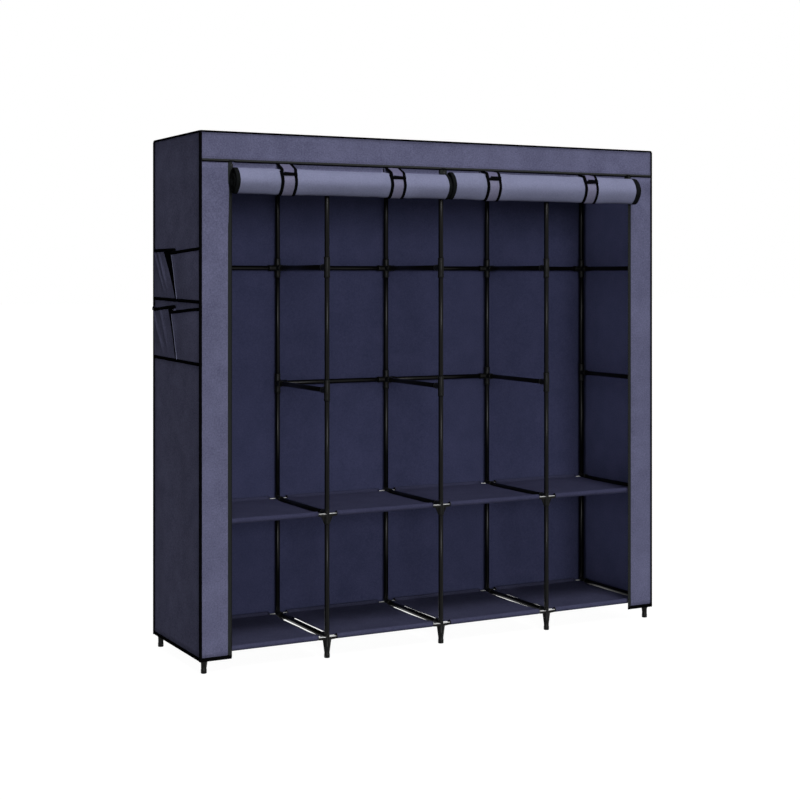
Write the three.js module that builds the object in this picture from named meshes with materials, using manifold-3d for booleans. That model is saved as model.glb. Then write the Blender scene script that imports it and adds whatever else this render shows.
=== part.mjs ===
// Portable fabric wardrobe: a four-bay frame of plugged steel tubes under a sewn cloth cover,
// with two roll-up doors held open by straps. Millimetres, +X right, +Y to the back, +Z up.
import * as THREE from "three";
import { mergeVertices } from "three/addons/utils/BufferGeometryUtils.js";
import Module from "manifold-3d";

// Cover, over its outside
const coverWidth = 1720;
const coverDepth = 430;
const coverTop = 1675;
const hemHeight = 40;
const clothThickness = 1.5;
const bandHeight = 90;
const flapWidth = 102;
const doorGap = 1;

// Frame of tubes and plastic connectors
const tubeRadius = 8;
const connectorRadius = 10;
const footRadius = 9;
const bayCount = 4;
const postInset = 17;
const lowerRailHeight = 67;
const tierHeight = 396.5;
const armReach = 33.5;
const socketWeb = 1.5;
const gussetThickness = 4;
const gussetDrop = 37;
const gussetReach = 20;
const footWebTop = 15.5;
const footWebBottom = 9.3;
const footWebRise = 18;

// Gaps between pieces that plug, rest or are sewn together
const fitGap = 0.33;
const sewnGap = 0.3;
const overrun = 5;

// Shelf cloths
const shelfCloth = 1.2;
const shelfSideGap = 13.5;
const tunnelEndGap = 2;
const shelfSag = 2;

// Rolled doors and their straps
const rollHeight = 84;
const rollDepth = 67.5;
const rollDrop = 19;
const rollSink = 0.5;
const rollOverhang = 11;
const rollEndTaper = 1.1;
const rollPinch = 1.2;
const strapWidth = 56;
const strapCloth = 1.6;
const strapAnchorRise = 15;
const tabStandOff = 1.2;

// Zip sliders and their pulls
const sliderWidth = 9;
const sliderLength = 11;
const sliderBody = 3;
const sliderDrop = 8;
const bridgeWidth = 2;
const bridgeLength = 8;
const bridgeRise = 3;
const bridgeWall = 1.2;
const pullBar = 1.2;
const pullWidth = 7;
const pullSlot = 4;
const pullSlotLength = 7;
const pullLength = 16;

// Side pockets, two pouches in each row
const pocketTops = { upper: 1316, lower: 1129 };
const pocketHeights = { upper: 168, lower: 174 };
const pocketBulge = 21;
const pocketMouthDip = 12;

// Shares of the sizes above
const strapPlaceShares = [-0.765, -0.254, 0.227, 0.75];
const sagShares = [0, 0.12, 0.35, 0.65, 0.88, 1];
const pocketPlanShares = [
  [0, 0], [0.16, 0.42], [0.33, 0.82], [0.46, 1], [0.49, 0.12],
  [0.51, 0.12], [0.56, 0.8], [0.7, 0.9], [0.86, 0.6], [1, 0],
];
const pocketRiseShares = [[0, 0], [0.3, 0.42], [0.65, 0.78], [1, 1]];

// Places on the roll where its straps start and end, in turns from +Y towards +Z
const loopStartTurn = 0.345;
const loopEndTurn = 0.93;
const tabEndTurn = 0.415;

// Sides and steps of the round forms
const postSides = 8;
const rollSides = 14;
const arcSteps = 9;

// Levels and columns that follow from them
const sideX = coverWidth / 2;
const columnX = [...Array(bayCount + 1).keys()].map(
  (i) => -sideX + postInset + (i * (coverWidth - 2 * postInset)) / bayCount,
);
const frontY = postInset;
const backY = coverDepth - postInset;
const topLevel = coverTop - clothThickness - sewnGap - connectorRadius;
const level = [0, 1, 2, 3].map((i) => lowerRailHeight + i * tierHeight).concat(topLevel);
const [footTier, shelfTier, middleTier, upperTier, topTier] = [0, 1, 2, 3, 4];
const socketFloor = tubeRadius + fitGap + socketWeb;
const sleeveFace = connectorRadius * Math.cos(Math.PI / postSides) + fitGap;
const boreRadius = tubeRadius + fitGap;
const middleY = coverDepth / 2;
const bandBottom = coverTop - bandHeight;
const openingHalf = sideX - flapWidth;

const wasm = await Module();
wasm.setup();

// Solids and three.js geometries

function solid(geometry) {
  const bare = geometry.clone();
  bare.deleteAttribute("normal");
  bare.deleteAttribute("uv");
  const merged = mergeVertices(bare);
  return new wasm.Manifold(
    new wasm.Mesh({
      numProp: 3,
      vertProperties: new Float32Array(merged.attributes.position.array),
      triVerts: new Uint32Array(merged.index.array),
    }),
  );
}

function geometryOf(made) {
  const { vertProperties, triVerts } = made.getMesh();
  const geometry = new THREE.BufferGeometry();
  geometry.setAttribute("position", new THREE.BufferAttribute(vertProperties, 3));
  geometry.setIndex(new THREE.BufferAttribute(triVerts, 1));
  geometry.computeVertexNormals();
  return geometry;
}

const join = (solids) => solids.reduce((all, next) => all.add(next));
const cut = (body, tools) => tools.reduce((left, tool) => left.subtract(tool), body);

// Box between two corners.
function block(low, high) {
  const size = high.map((v, i) => v - low[i]);
  const box = new THREE.BoxGeometry(...size);
  return box.translate(...low.map((v, i) => v + size[i] / 2));
}

// Turned bar along one axis, through a point of the other two, from stretches of [radius, from, to].
function turned(axis, stretches, [x, y, z]) {
  const [[, start]] = stretches;
  const [, , end] = stretches.at(-1);
  const edges = stretches.flatMap(([radius, from, to]) => [[radius, from], [radius, to]]);
  const profile = [[0, start], ...edges, [0, end]].map(([r, along]) => new THREE.Vector2(r, along));
  const geometry = new THREE.LatheGeometry(profile, postSides, Math.PI / postSides);
  if (axis === "x") geometry.rotateZ(-Math.PI / 2).translate(0, y, z);
  if (axis === "y") geometry.translate(x, 0, z);
  if (axis === "z") geometry.rotateX(Math.PI / 2).translate(x, y, 0);
  return geometry;
}

const bar = (axis, radius, from, to, through) => turned(axis, [[radius, from, to]], through);

// Outline in the Y-Z plane, with optional holes, extruded along X.
function alongX(outline, fromX, toX, holes = []) {
  const shape = new THREE.Shape(outline.map(([y, z]) => new THREE.Vector2(y, z)));
  shape.holes = holes.map((h) => new THREE.Path(h.map(([y, z]) => new THREE.Vector2(y, z))));
  const geometry = new THREE.ExtrudeGeometry(shape, { depth: toX - fromX, bevelEnabled: false });
  const turn = new THREE.Matrix4().makeBasis(
    new THREE.Vector3(0, 1, 0), new THREE.Vector3(0, 0, 1), new THREE.Vector3(1, 0, 0),
  );
  return geometry.applyMatrix4(turn).translate(fromX, 0, 0);
}

// Closed skin through rings of points, each ring with the same count, capped at both ends.
function loft(rings) {
  const count = rings[0].length;
  const middle = (ring) => ring[0].map((_, k) => ring.reduce((sum, p) => sum + p[k], 0) / count);
  const points = [...rings.flat(), middle(rings[0]), middle(rings.at(-1))];
  const faces = [];
  for (let r = 0; r + 1 < rings.length; r++) {
    for (let i = 0; i < count; i++) {
      const a = r * count + i;
      const b = r * count + ((i + 1) % count);
      faces.push([a, b, b + count], [a, b + count, a + count]);
    }
  }
  const last = (rings.length - 1) * count;
  for (let i = 0; i < count; i++) {
    const next = (i + 1) % count;
    faces.push([next, i, rings.length * count], [last + i, last + next, rings.length * count + 1]);
  }
  const geometry = new THREE.BufferGeometry();
  geometry.setAttribute("position", new THREE.Float32BufferAttribute(points.flat(), 3));
  geometry.setIndex(faces.flat());
  geometry.computeVertexNormals();
  return geometry;
}

// Materials

const material = (color, roughness, metalness) =>
  new THREE.MeshStandardMaterial({ color, roughness, metalness });
const coverCloth = material(0x575870, 0.9, 0);
const linerCloth = material(0x35364d, 0.9, 0);
const paintedTube = material(0x17181b, 0.35, 0.4);
const zipMetal = material(0x141416, 0.4, 0.8);
const strapFabric = material(0x5c5d76, 0.9, 0);

const wardrobe = new THREE.Group();

function piece(name, geometry, finish) {
  const mesh = new THREE.Mesh(geometry, finish);
  mesh.name = name;
  wardrobe.add(mesh);
}

// Frame: rows of plugged tubes with the connector sleeves that the tubes plug into. The arms
// along the width belong to the rails in front, and to the posts at the back.

const rails = [
  { name: "lower_front_rail", tier: footTier, y: frontY, first: 0, last: bayCount },
  { name: "lower_back_rail", tier: footTier, y: backY, first: 0, last: bayCount },
  { name: "shelf_front_rail", tier: shelfTier, y: frontY, first: 0, last: bayCount },
  { name: "shelf_back_rail", tier: shelfTier, y: backY, first: 0, last: bayCount },
  { name: "middle_back_rail", tier: middleTier, y: backY, first: 1, last: bayCount - 1 },
  { name: "upper_back_rail", tier: upperTier, y: backY, first: 0, last: bayCount },
  { name: "top_front_rail", tier: topTier, y: frontY, first: 0, last: bayCount },
  { name: "top_back_rail", tier: topTier, y: backY, first: 0, last: bayCount },
];

// Stretches of bare tube from one coordinate to another, with sleeves between the given pairs.
function sleeved(from, to, sleeves) {
  const stretches = [];
  let reached = from;
  sleeves.forEach(([start, end]) => {
    const open = Math.max(start, from);
    const shut = Math.min(end, to);
    if (shut <= open) return;
    if (open > reached) stretches.push([tubeRadius, reached, open]);
    stretches.push([connectorRadius, open, shut]);
    reached = shut;
  });
  if (to > reached) stretches.push([tubeRadius, reached, to]);
  return stretches;
}

for (const { name, tier, y, first, last } of rails) {
  const crossings = y === frontY ? columnX.slice(first, last + 1) : [];
  const sleeves = crossings.flatMap((x) => [
    [x - armReach, x - sleeveFace],
    [x + sleeveFace, x + armReach],
  ]);
  const row = turned("x", sleeved(columnX[first], columnX[last], sleeves), [0, y, level[tier]]);
  piece(name, row, paintedTube);
}

// Bores through which the rails pass a post, or in which they end.
function railBores(column, y, tiers) {
  const x = columnX[column];
  const clear = (y === frontY ? connectorRadius : armReach) + overrun;
  return rails
    .filter((row) => row.y === y && tiers.includes(row.tier))
    .filter((row) => column >= row.first && column <= row.last)
    .map(({ tier, first, last }) => {
      const from = column > first ? x - clear : x - fitGap;
      const to = column < last ? x + clear : x + fitGap;
      return solid(bar("x", boreRadius, from, to, [0, y, level[tier]]));
    });
}

const postSleeves = level.map((z) => [z - armReach, z + armReach]);
const postTop = topLevel + connectorRadius;
const postSplit = level[shelfTier] + connectorRadius;

// Upright web in the X-Z plane, from an outline given as [x, z].
function web(outline, y) {
  const shape = new THREE.Shape(outline.map(([x, z]) => new THREE.Vector2(x, z)));
  const plate = new THREE.ExtrudeGeometry(shape, { depth: gussetThickness, bevelEnabled: false });
  return plate.rotateX(Math.PI / 2).translate(0, y + gussetThickness / 2, 0);
}

// Webs on the foot and below the shelf connector, on the sides that have a bay.
function webs(column, y) {
  const x = columnX[column];
  const left = column > 0 ? 1 : 0;
  const right = column < bayCount ? 1 : 0;
  const armFace = y === frontY ? sleeveFace : boreRadius;
  const footTop = level[footTier] - armFace;
  const shelfUnder = level[shelfTier] - armFace;
  const foot = [
    [x - left * footWebBottom, footWebRise], [x + right * footWebBottom, footWebRise],
    [x + right * footWebTop, footTop], [x - left * footWebTop, footTop],
  ];
  const gusset = [
    [x, shelfUnder - gussetDrop], [x + right * gussetReach, shelfUnder],
    [x - left * gussetReach, shelfUnder],
  ];
  return [solid(web(foot, y)), solid(web(gusset, y))];
}

// Foot, lower tubes and shelf connector of a front post.
function frontLowerPost(column) {
  const x = columnX[column];
  const footEnd = level[footTier] - armReach;
  const line = [[footRadius, 0, footEnd], ...sleeved(footEnd, postSplit, postSleeves)];
  const added = [solid(turned("z", line, [x, frontY, 0])), ...webs(column, frontY)];
  return geometryOf(cut(join(added), railBores(column, frontY, [footTier, shelfTier])));
}

function frontUpperPost(column) {
  const line = sleeved(postSplit + fitGap, postTop, postSleeves);
  const row = solid(turned("z", line, [columnX[column], frontY, 0]));
  return geometryOf(cut(row, railBores(column, frontY, [topTier])));
}

// A back post with the five tubes that run forward from it, the top one with a tee at half depth.
function backPost(column) {
  const x = columnX[column];
  const footEnd = level[footTier] - armReach;
  const line = [[footRadius, 0, footEnd], ...sleeved(footEnd, postTop, postSleeves)];
  const rods = level.map((z, tier) => {
    const tee = tier === topTier ? [[middleY - armReach, middleY + armReach]] : [];
    const sleeves = [[frontY, frontY + armReach], ...tee, [backY - armReach, backY]];
    return solid(turned("y", sleeved(frontY + sleeveFace, backY, sleeves), [x, 0, z]));
  });
  const left = column > 0 ? armReach : 0;
  const right = column < bayCount ? armReach : 0;
  const tee = solid(bar("x", connectorRadius, x - left, x + right, [0, middleY, topLevel]));
  const sockets = [-left, right].filter((reach) => reach).map((reach) => {
    const side = Math.sign(reach);
    const floor = x + side * socketFloor;
    const mouth = x + side * (armReach + overrun);
    const ends = [Math.min(floor, mouth), Math.max(floor, mouth)];
    return solid(bar("x", boreRadius, ...ends, [0, middleY, topLevel]));
  });
  const arms = rails
    .filter((row) => row.y === backY && column >= row.first && column <= row.last)
    .map(({ tier, first, last }) => {
      const from = column > first ? x - armReach : x;
      const to = column < last ? x + armReach : x;
      return solid(bar("x", connectorRadius, from, to, [0, backY, level[tier]]));
    });
  const upright = solid(turned("z", line, [x, backY, 0]));
  const added = [upright, ...rods, ...arms, tee, ...webs(column, backY)];
  return geometryOf(cut(join(added), [...railBores(column, backY, [...level.keys()]), ...sockets]));
}

for (let column = 0; column <= bayCount; column++) {
  piece(`front_lower_post_${column + 1}`, frontLowerPost(column), paintedTube);
  piece(`front_upper_post_${column + 1}`, frontUpperPost(column), paintedTube);
  piece(`back_post_${column + 1}`, backPost(column), paintedTube);
}

for (let bay = 0; bay < bayCount; bay++) {
  const from = columnX[bay] + socketFloor + fitGap;
  const to = columnX[bay + 1] - socketFloor - fitGap;
  const rod = bar("x", tubeRadius, from, to, [0, middleY, topLevel]);
  piece(`hanging_rod_${bay + 1}`, rod, paintedTube);
}

// Shelf cloths: a sheet with a sewn tunnel round the front and the back rail

function ringPoints(y, z, radius, fromTurn, toTurn, steps) {
  return [...Array(steps + 1).keys()].map((i) => {
    const angle = 2 * Math.PI * (fromTurn + ((toTurn - fromTurn) * i) / steps);
    return [y + radius * Math.cos(angle), z + radius * Math.sin(angle)];
  });
}

function shelf(bay, tier) {
  const z = level[tier];
  const from = columnX[bay];
  const to = columnX[bay + 1];
  const outer = boreRadius + shelfCloth;
  const halfTurn = 0.5;
  const quarterTurn = 0.25;
  const sheetTop = (share, drop) => [
    frontY + share * (backY - frontY),
    z + outer - drop - shelfSag * Math.sin(Math.PI * share),
  ];
  const top = sagShares.map((share) => sheetTop(share, 0));
  const under = sagShares.slice(1, -1).reverse().map((share) => sheetTop(share, shelfCloth));
  const turns = postSides / 2;
  const outline = [
    ...top.slice(1, -1),
    ...ringPoints(backY, z, outer, quarterTurn, -halfTurn, turns + 2),
    ...under,
    ...ringPoints(frontY, z, outer, 0, -quarterTurn - halfTurn, turns + 2),
  ];
  const holeTurn = halfTurn / postSides;
  const hole = (y) => ringPoints(y, z, boreRadius, holeTurn, 1 + holeTurn, postSides).slice(0, -1);
  const tunnelFrom = from + armReach + tunnelEndGap;
  const tunnelTo = to - armReach - tunnelEndGap;
  const sewn = solid(alongX(outline, tunnelFrom, tunnelTo, [hole(frontY), hole(backY)]));
  const clear = armReach + tunnelEndGap;
  const clearShare = clear / (backY - frontY);
  const wideShares = [clearShare, ...sagShares.slice(2, -2), 1 - clearShare];
  const wide = [
    ...wideShares.map((share) => sheetTop(share, 0)),
    ...wideShares.reverse().map((share) => sheetTop(share, shelfCloth)),
  ];
  const sheet = solid(alongX(wide, from + shelfSideGap, to - shelfSideGap));
  return geometryOf(sewn.add(sheet));
}

for (let bay = 0; bay < bayCount; bay++) {
  piece(`lower_shelf_${bay + 1}`, shelf(bay, footTier), linerCloth);
  piece(`upper_shelf_${bay + 1}`, shelf(bay, shelfTier), linerCloth);
}

// Cover panels, sewn edge to edge

const panelTop = coverTop - clothThickness - sewnGap;
const innerX = sideX - clothThickness;
const seamX = innerX - sewnGap;
piece(
  "cover_top",
  block([-sideX, 0, coverTop - clothThickness], [sideX, coverDepth, coverTop]),
  coverCloth,
);
piece(
  "cover_back",
  block([-seamX, coverDepth - clothThickness, hemHeight], [seamX, coverDepth, panelTop]),
  coverCloth,
);
piece(
  "cover_left_side",
  block([-sideX, 0, hemHeight], [-innerX, coverDepth, panelTop]),
  coverCloth,
);
piece(
  "cover_right_side",
  block([innerX, 0, hemHeight], [sideX, coverDepth, panelTop]),
  coverCloth,
);
piece(
  "cover_front_band",
  block([-seamX, 0, bandBottom], [seamX, clothThickness, panelTop]),
  coverCloth,
);
piece(
  "cover_left_flap",
  block([-seamX, 0, hemHeight], [-openingHalf, clothThickness, bandBottom - sewnGap]),
  coverCloth,
);
piece(
  "cover_right_flap",
  block([openingHalf, 0, hemHeight], [seamX, clothThickness, bandBottom - sewnGap]),
  coverCloth,
);

// Doors, rolled up under the band

const rollZ = bandBottom - rollDrop - rollHeight / 2;
const rollY = rollSink - rollDepth / 2;

// Point of the roll's oval section, grown outwards by an offset, at a turn counted from +Y to +Z.
function ovalPoint(turn, offset) {
  const angle = 2 * Math.PI * turn;
  return [
    rollY + (rollDepth / 2 + offset) * Math.cos(angle),
    rollZ + (rollHeight / 2 + offset) * Math.sin(angle),
  ];
}

function rollRing(x, offset) {
  return [...Array(rollSides).keys()].map((i) => [x, ...ovalPoint(i / rollSides, offset)]);
}

const strapsX = strapPlaceShares.map((share) => share * openingHalf);

function door(side) {
  const meeting = (side * doorGap) / 2;
  const edge = side * (openingHalf - doorGap);
  const end = side * (openingHalf - doorGap + rollOverhang);
  const stations = [[meeting, 0]];
  strapsX.filter((x) => x * side > 0).forEach((x) => {
    const half = (side * strapWidth) / 2;
    stations.push([x - side * strapWidth, 0], [x - half, -rollPinch]);
    stations.push([x + half, -rollPinch], [x + side * strapWidth, 0]);
  });
  stations.push([edge - side * rollOverhang, 0], [edge, -rollEndTaper], [end, -rollEndTaper]);
  stations.sort((a, b) => a[0] - b[0]);
  const roll = solid(loft(stations.map(([x, offset]) => rollRing(x, offset))));
  const hang = solid(
    block(
      [Math.min(meeting, edge), 0, rollZ],
      [Math.max(meeting, edge), clothThickness, bandBottom - sewnGap],
    ),
  );
  return geometryOf(roll.add(hang));
}

piece("door_left", door(-1), coverCloth);
piece("door_right", door(1), coverCloth);

// Straps: a fixed loop under the roll and a tab that closes over it

// Turns from one to another in equal steps.
const steps = (from, to, count) =>
  [...Array(count + 1).keys()].map((i) => from + ((to - from) * i) / count);

function strapLoop(x) {
  const near = sewnGap;
  const far = sewnGap + strapCloth;
  const behind = clothThickness + sewnGap;
  const turns = steps(loopStartTurn, loopEndTurn, 2 * arcSteps);
  const anchor = bandBottom + strapAnchorRise;
  const outline = [
    ...turns.map((turn) => ovalPoint(turn, far)),
    [behind + strapCloth, rollZ], [behind + strapCloth, anchor],
    [behind, anchor], [behind, rollZ],
    ...turns.reverse().map((turn) => ovalPoint(turn, near)),
  ];
  return alongX(outline.reverse(), x - strapWidth / 2, x + strapWidth / 2);
}

// Turn at which a line from a point touches the oval grown by an offset, on its upper front side.
function touchTurn([y, z], offset) {
  const across = (y - rollY) / (rollDepth / 2 + offset);
  const up = (z - rollZ) / (rollHeight / 2 + offset);
  return (Math.atan2(up, across) + Math.acos(1 / Math.hypot(across, up))) / (2 * Math.PI);
}

function strapTab(x) {
  const near = 2 * sewnGap + strapCloth;
  const far = near + strapCloth;
  const hingeUnder = [-tabStandOff, bandBottom - sewnGap - strapCloth];
  const hingeOver = [-tabStandOff, bandBottom - sewnGap];
  const underTurns = steps(touchTurn(hingeUnder, near), tabEndTurn, arcSteps);
  const overTurns = steps(touchTurn(hingeOver, far), tabEndTurn, arcSteps);
  const outline = [
    hingeOver,
    ...overTurns.map((turn) => ovalPoint(turn, far)),
    ...underTurns.reverse().map((turn) => ovalPoint(turn, near)),
    hingeUnder,
  ];
  return alongX(outline, x - strapWidth / 2, x + strapWidth / 2);
}

strapsX.forEach((x, i) => {
  piece(`strap_loop_${i + 1}`, strapLoop(x), strapFabric);
  piece(`strap_tab_${i + 1}`, strapTab(x), strapFabric);
});

// Zip sliders parked at the head of each zip, each with a pull that hangs from its bridge

const sliderZ = bandBottom - sliderDrop - sliderLength / 2;
const sliderFront = -sewnGap - sliderBody;
const pullY = sliderFront - sewnGap - pullBar / 2;
const pullZ = sliderZ + bridgeLength / 2 - bridgeWall - sewnGap - pullBar / 2;

function slider(x) {
  const noseShare = 0.55;
  const half = sliderWidth / 2;
  const shape = new THREE.Shape(
    [
      [-half * noseShare, -sliderLength / 2], [half * noseShare, -sliderLength / 2],
      [half, 0], [half, sliderLength / 2], [-half, sliderLength / 2], [-half, 0],
    ].map(([px, pz]) => new THREE.Vector2(x + px, sliderZ + pz)),
  );
  const plate = new THREE.ExtrudeGeometry(shape, { depth: sliderBody, bevelEnabled: false });
  const body = solid(plate.rotateX(Math.PI / 2).translate(0, -sewnGap, 0));
  const low = sliderZ - bridgeLength / 2;
  const high = sliderZ + bridgeLength / 2;
  const arch = solid(
    block(
      [x - bridgeWidth / 2, sliderFront - bridgeRise, low],
      [x + bridgeWidth / 2, sliderFront + sliderBody / 2, high],
    ),
  );
  const eye = solid(
    block(
      [x - bridgeWidth, sliderFront - bridgeRise + bridgeWall, low + bridgeWall],
      [x + bridgeWidth, sliderFront, high - bridgeWall],
    ),
  );
  return geometryOf(cut(arch, [eye]).add(body));
}

function pull(x) {
  const plate = solid(
    block(
      [x - pullWidth / 2, pullY - pullBar / 2, pullZ + pullBar / 2 - pullLength],
      [x + pullWidth / 2, pullY + pullBar / 2, pullZ + pullBar / 2],
    ),
  );
  const slot = solid(
    block(
      [x - pullSlot / 2, pullY - pullBar, pullZ - pullBar / 2 - pullSlotLength],
      [x + pullSlot / 2, pullY + pullBar, pullZ - pullBar / 2],
    ),
  );
  return geometryOf(cut(plate, [slot]));
}

const zips = { left: -openingHalf + doorGap / 2, middle: 0, right: openingHalf - doorGap / 2 };
Object.entries(zips).forEach(([place, x]) => {
  piece(`zip_slider_${place}`, slider(x), zipMetal);
  piece(`zip_pull_${place}`, pull(x), zipMetal);
});

// Side pockets: a sheet sewn to the left side, standing off it towards its mouth

function pocketRow(top, height) {
  const skin = (offset) =>
    pocketPlanShares.map(([along, bulgeShare]) =>
      pocketRiseShares.map(([up, outShare]) => [
        -sideX - sewnGap - offset - pocketBulge * bulgeShare * outShare,
        along * coverDepth,
        top - height + up * (height - pocketMouthDip * bulgeShare),
      ]),
    );
  const inner = skin(0);
  const outer = skin(clothThickness);
  return loft(outer.map((column, i) => [...column, ...inner[i].toReversed()]));
}

piece("side_pocket_upper", pocketRow(pocketTops.upper, pocketHeights.upper), linerCloth);
piece("side_pocket_lower", pocketRow(pocketTops.lower, pocketHeights.lower), linerCloth);

// The origin lies on the floor, in the middle of everything that stands out of the cover.
const leftReach = sideX + sewnGap + clothThickness + pocketBulge;
const frontReach = rollDepth - rollSink + sewnGap + strapCloth;
wardrobe.position.set((leftReach - sideX) / 2, (frontReach - coverDepth) / 2, 0);

const part = new THREE.Group();
part.add(wardrobe);
export default part;
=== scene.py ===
# Portable fabric wardrobe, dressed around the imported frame.
# Metres: +X to the right, +Y to the back, +Z up. The open front looks towards -Y.
import math

import bmesh
import bpy
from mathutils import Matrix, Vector, noise


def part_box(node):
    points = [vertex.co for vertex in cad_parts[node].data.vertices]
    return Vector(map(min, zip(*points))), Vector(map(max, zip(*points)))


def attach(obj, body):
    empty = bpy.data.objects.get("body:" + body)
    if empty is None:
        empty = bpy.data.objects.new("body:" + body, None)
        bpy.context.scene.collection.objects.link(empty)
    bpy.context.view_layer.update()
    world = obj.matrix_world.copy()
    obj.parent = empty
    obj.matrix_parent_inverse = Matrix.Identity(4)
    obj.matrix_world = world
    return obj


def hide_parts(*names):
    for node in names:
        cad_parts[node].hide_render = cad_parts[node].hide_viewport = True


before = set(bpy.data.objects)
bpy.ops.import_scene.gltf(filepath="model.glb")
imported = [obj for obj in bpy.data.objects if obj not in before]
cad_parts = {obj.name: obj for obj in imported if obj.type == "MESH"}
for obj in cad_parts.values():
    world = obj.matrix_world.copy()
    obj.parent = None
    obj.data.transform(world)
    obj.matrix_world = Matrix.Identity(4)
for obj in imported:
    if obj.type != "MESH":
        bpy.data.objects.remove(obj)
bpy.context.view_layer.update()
scene = bpy.context.scene
mm = 0.001
print("frame loaded")


def placed(name, data):
    item = bpy.data.objects.new(name, data)
    scene.collection.objects.link(item)
    return item


# Camera where the photo was taken from
cameraSetup = {
    "place": (-2.5683, -4.70465, 1.2284),
    "turnDegrees": -28.10,
    "lens": 70.18,
    "sensor": 36.0,
    "shiftY": -0.1549,
}
lens = bpy.data.cameras.new("photoLens")
lens.lens, lens.sensor_width = cameraSetup["lens"], cameraSetup["sensor"]
lens.shift_y = cameraSetup["shiftY"]
camera = placed("photoCamera", lens)
camera.location = cameraSetup["place"]
camera.rotation_euler = (math.radians(90), 0, math.radians(cameraSetup["turnDegrees"]))
scene.camera = camera


# Places that the frame gives
def middle(node):
    low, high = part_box(node)
    return (low + high) / 2


topLow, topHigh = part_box("cover_top")
leftX, rightX, frontY, backY, topZ = topLow.x, topHigh.x, topLow.y, topHigh.y, topHigh.z
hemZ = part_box("cover_back")[0].z
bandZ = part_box("cover_front_band")[0].z
openLeft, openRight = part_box("cover_left_flap")[1].x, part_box("cover_right_flap")[0].x
columnX = [middle(f"front_upper_post_{column + 1}").x for column in range(5)]
postFront, postBack = middle("lower_front_rail").y, middle("lower_back_rail").y
levelRails = ["lower_front_rail", "shelf_front_rail", "middle_back_rail", "upper_back_rail", "top_front_rail"]
levels = [middle(rail).z for rail in levelRails]
middleX, halfDepth = (leftX + rightX) / 2, (frontY + backY) / 2


# Small tools for meshes
def spread(low, high, count):
    return [low + (high - low) * i / count for i in range(count + 1)]


def smooth(share):
    share = min(max(share, 0), 1)
    return share * share * (3 - 2 * share)


def rough(*place):  # smooth noise, about -1 to 1
    return noise.noise(Vector(place))


def ringAngles(sides):
    return [2 * math.pi * i / sides for i in range(sides)]


def skin(rows, ringClosed=False, capped=False):
    count = len(rows[0])
    points = [Vector(point) for row in rows for point in row]
    faces = []
    for r in range(len(rows) - 1):
        for i in range(count if ringClosed else count - 1):
            j = (i + 1) % count
            faces.append((r * count + i, r * count + j, (r + 1) * count + j, (r + 1) * count + i))
    if capped:
        last = (len(rows) - 1) * count
        faces.append(tuple(range(count))[::-1])
        faces.append(tuple(last + i for i in range(count)))
    return points, faces


def joined(shells):
    points, faces = [], []
    for shellPoints, shellFaces in shells:
        start = len(points)
        points += shellPoints
        faces += [tuple(start + i for i in face) for face in shellFaces]
    return points, faces


def turned(profile, start, direction, sides):  # profile: (radius, distance) from start
    direction = Vector(direction).normalized()
    across = direction.orthogonal().normalized()
    over = direction.cross(across)
    ring = [across * math.cos(angle) + over * math.sin(angle) for angle in ringAngles(sides)]
    rows = []
    for radius, distance in profile:
        centre = Vector(start) + direction * distance
        rows.append([centre + radius * way for way in ring])
    return skin(rows, ringClosed=True, capped=True)


def swept(path, section, normal):  # section: (across, out) pairs round the path
    rows = []
    path = [Vector(point) for point in path]
    for i, point in enumerate(path):
        along = (path[min(i + 1, len(path) - 1)] - path[max(i - 1, 0)]).normalized()
        out = Vector(normal(i) if callable(normal) else normal)
        side = along.cross(out).normalized()
        out = side.cross(along)
        rows.append([point + side * across + out * proud for across, proud in section])
    return skin(rows, ringClosed=True, capped=True)


def clippedRing(half, low, high, nip):  # a rectangle with its corners cut
    return [(-half, low + nip), (-half + nip, low), (half - nip, low), (half, low + nip),
            (half, high - nip), (half - nip, high), (-half + nip, high), (-half, high - nip)]


def roundedSection(width, thickness, corner=0.35):
    half, rise = width / 2, thickness / 2
    return clippedRing(half, -rise, rise, corner * min(half, rise) * 2)


def ribbon(path, width, thickness, normal):
    return swept(path, roundedSection(width, thickness), normal)


def ovalSection(width, height, sides, lift=0.0):
    return [(width / 2 * math.cos(a), height / 2 * math.sin(a) + lift) for a in ringAngles(sides)]


def powered(value, power):  # a power that keeps the sign, for rounded outlines
    return math.copysign(abs(value) ** power, value)


def cornered(points, radius, steps=5):  # a path with its corners rounded
    points = [Vector(point) for point in points]
    path = [points[0]]
    for before, corner, after in zip(points, points[1:], points[2:]):
        start = corner + (before - corner).normalized() * radius
        end = corner + (after - corner).normalized() * radius
        for t in spread(0, 1, steps):
            path.append(start * (1 - t) ** 2 + corner * 2 * t * (1 - t) + end * t * t)
    return path + [points[-1]]


pathStep = 40 * mm


def divided(path, length=pathStep):  # the same path with a point about every length
    made = [Vector(path[0])]
    for start, end in zip(path, path[1:]):
        start, end = Vector(start), Vector(end)
        count = max(1, round((end - start).length / length))
        made += [start.lerp(end, i / count) for i in range(1, count + 1)]
    return made


stitch = {"length": 3.4 * mm, "pitch": 4.6 * mm, "width": 0.8 * mm, "rise": 0.35 * mm}


def stitches(path, normal, lift=0.0):  # a row of thread stitches lying on cloth
    shells = []
    path = [Vector(point) for point in path]
    out = Vector(normal).normalized()
    left = 0.0
    for start, end in zip(path, path[1:]):
        span = (end - start).length
        along = (end - start).normalized()
        side = along.cross(out) * stitch["width"] / 2
        at = left
        while at + stitch["length"] <= span + stitch["pitch"]:
            head = start + along * at + out * lift
            tail = head + along * stitch["length"]
            mid = (head + tail) / 2
            top, under = mid + out * stitch["rise"], mid - out * stitch["rise"]
            points = [head, mid + side, tail, mid - side, top, under]
            faces = [(0, 1, 4), (1, 2, 4), (2, 3, 4), (3, 0, 4), (1, 0, 5), (2, 1, 5), (3, 2, 5), (0, 3, 5)]
            shells.append((points, faces))
            at += stitch["pitch"]
        left = at - span
    return joined(shells)


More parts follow.
